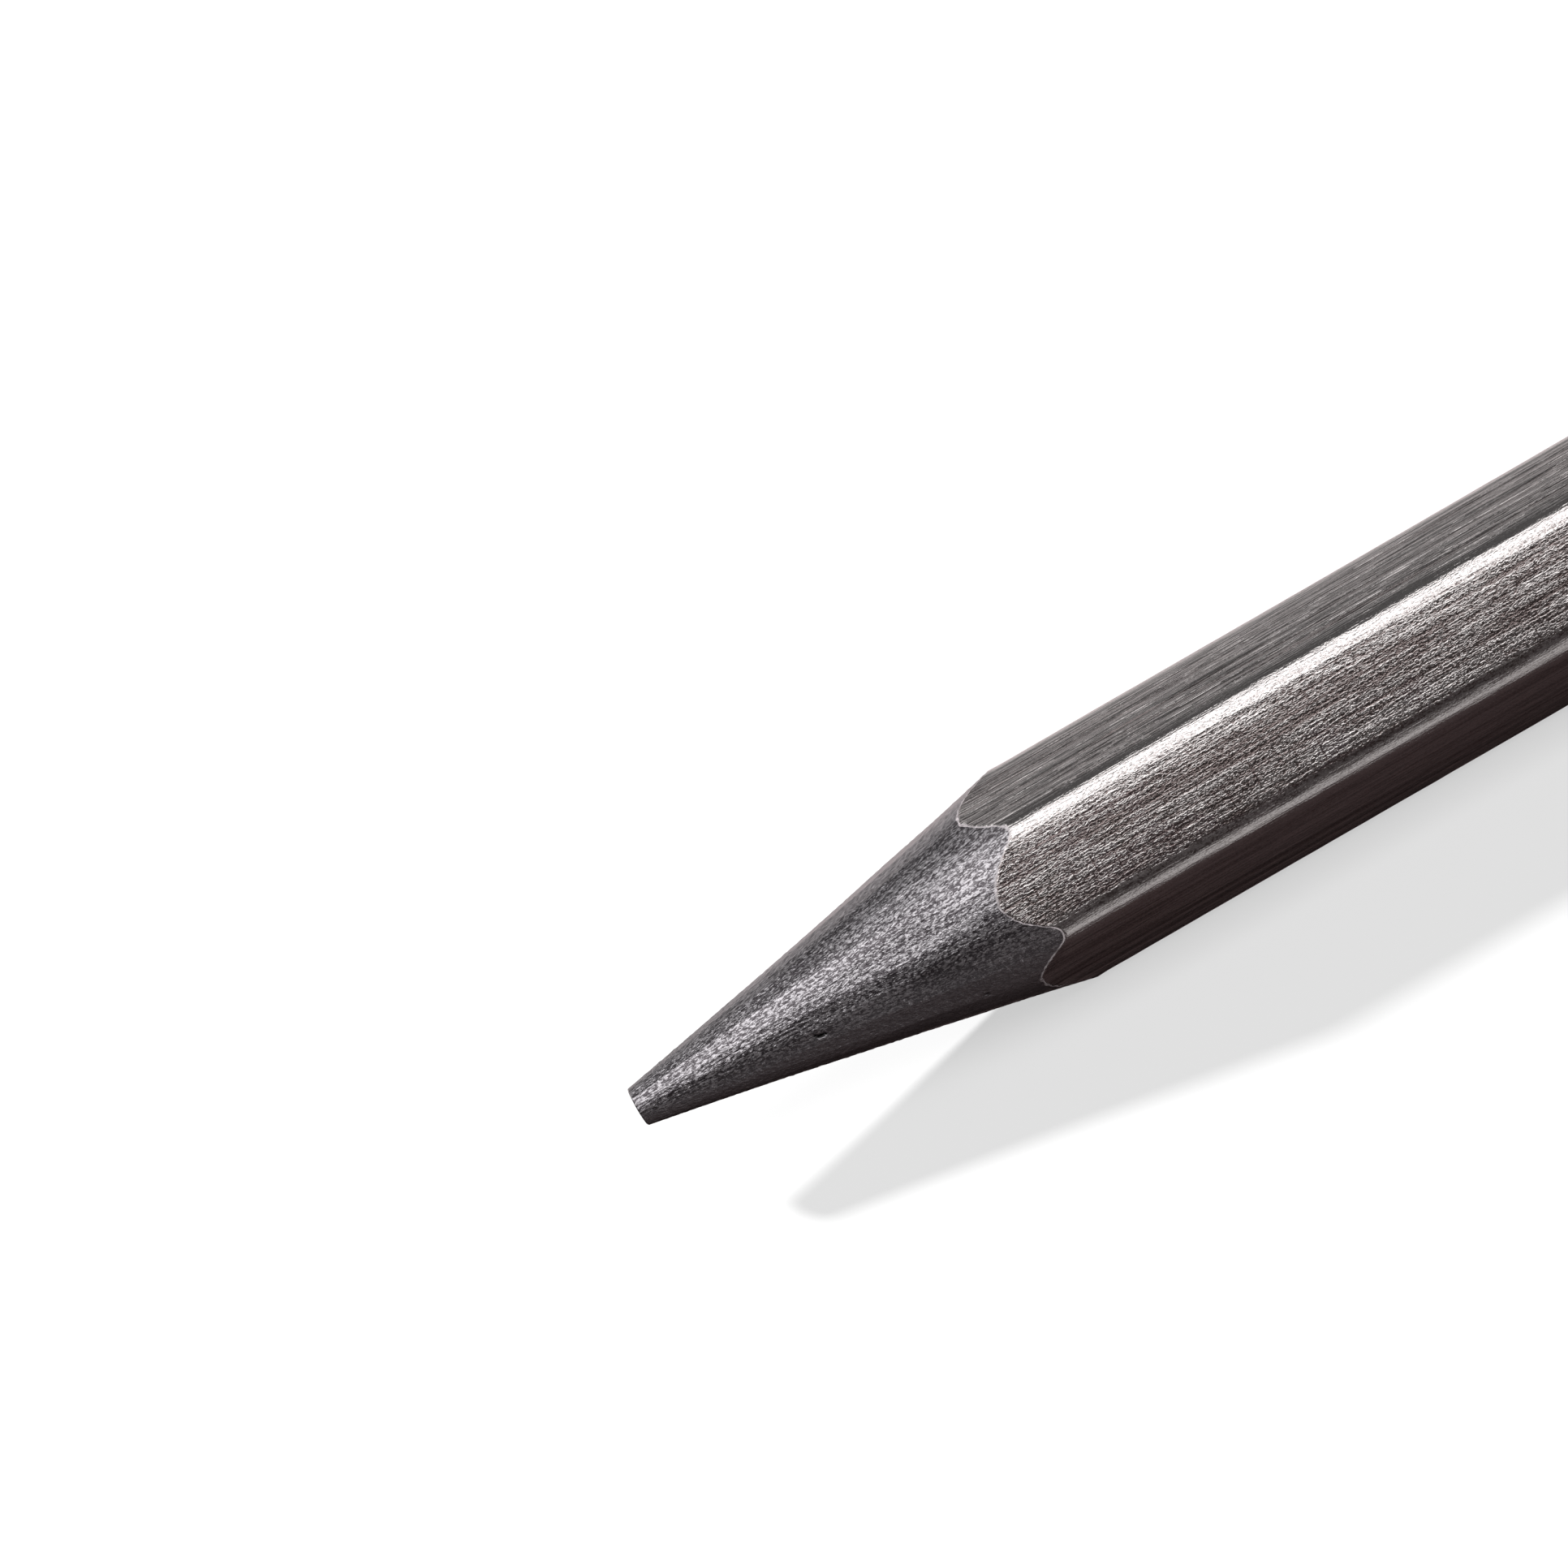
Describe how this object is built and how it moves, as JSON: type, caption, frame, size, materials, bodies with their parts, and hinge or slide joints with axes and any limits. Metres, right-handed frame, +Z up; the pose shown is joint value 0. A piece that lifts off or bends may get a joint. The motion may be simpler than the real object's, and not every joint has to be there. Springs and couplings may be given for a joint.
{
  "type": "graphite pencil",
  "caption": "Woodless hexagonal graphite pencil: lacquered pressed-graphite stick sharpened to a long blunt cone, with a sealed domed rear end.",
  "frame": {"origin": "on the surface the pencil lies on, under the middle of its length and of its width", "axes": "+X along the pencil's axis from the sharpened tip to the rear end, +Z up, away from the flat it lies on, +Y across it"},
  "size_m": [0.175, 0.0078, 0.0072],
  "materials": {
    "graphite": "satin",
    "primer": "matte",
    "lacquer": "satin",
    "end_lacquer": "gloss"
  },
  "bodies": {
    "root": {"graphite_core": "graphite", "primer_coat": "primer", "lacquer_coat": "lacquer", "end_dip": "end_lacquer"}
  },
  "joints": []
}
